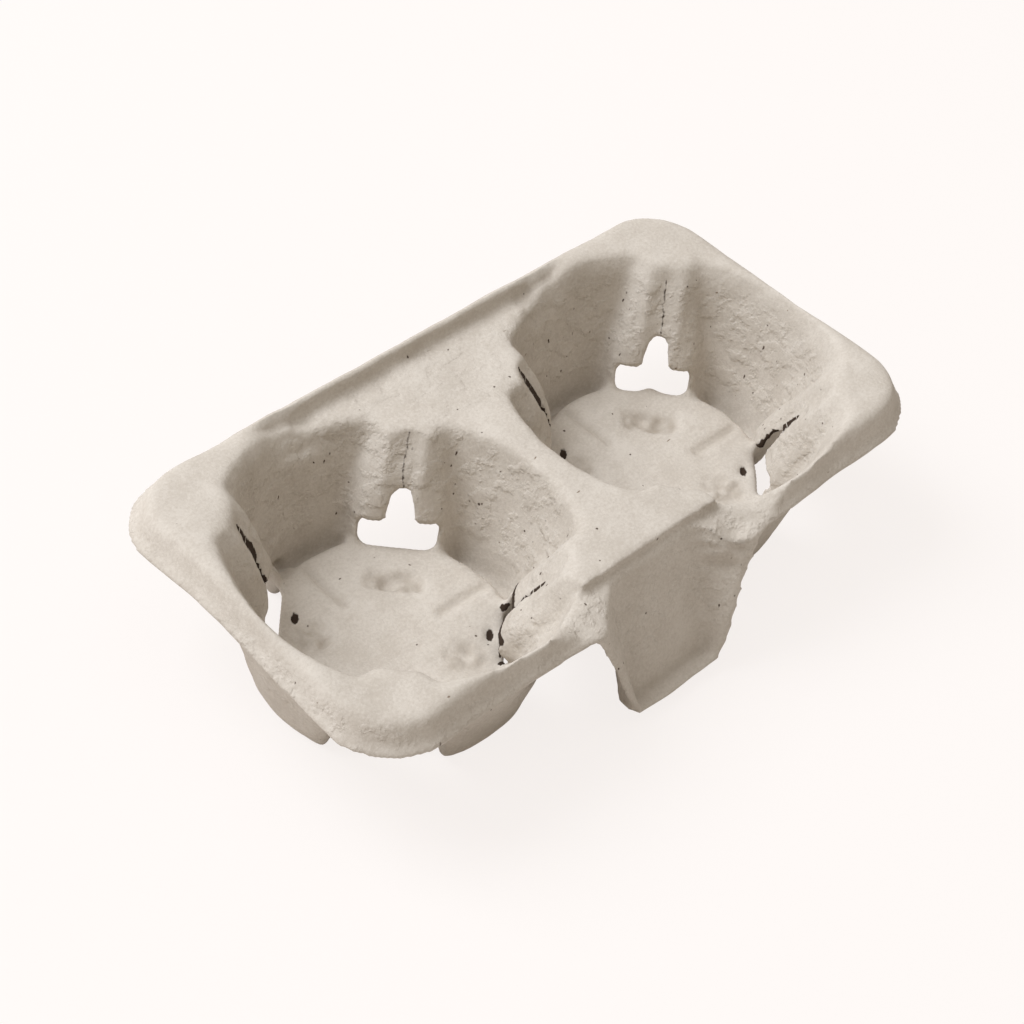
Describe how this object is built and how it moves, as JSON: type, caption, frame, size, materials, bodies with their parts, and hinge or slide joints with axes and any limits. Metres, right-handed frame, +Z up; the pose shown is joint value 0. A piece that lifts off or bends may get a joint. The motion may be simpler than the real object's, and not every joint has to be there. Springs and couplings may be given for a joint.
{
  "type": "moulded pulp cup carrier tray",
  "caption": "Moulded fibre carrier tray with a pair of ribbed cup pockets, T-shaped windows, a dipped saddle between them, a turned-down rim and a hand niche at the front.",
  "frame": {"origin": "middle of the bounding box on the plane it stands on", "axes": "+X along the row of pockets, +Y towards the back rim, away from the hand niche, +Z up"},
  "size_m": [0.215, 0.121, 0.049],
  "materials": {
    "pulp": "matt unbleached moulded paper fibre, rough, flecked"
  },
  "bodies": {
    "root": {"tray": "pulp"}
  },
  "joints": []
}
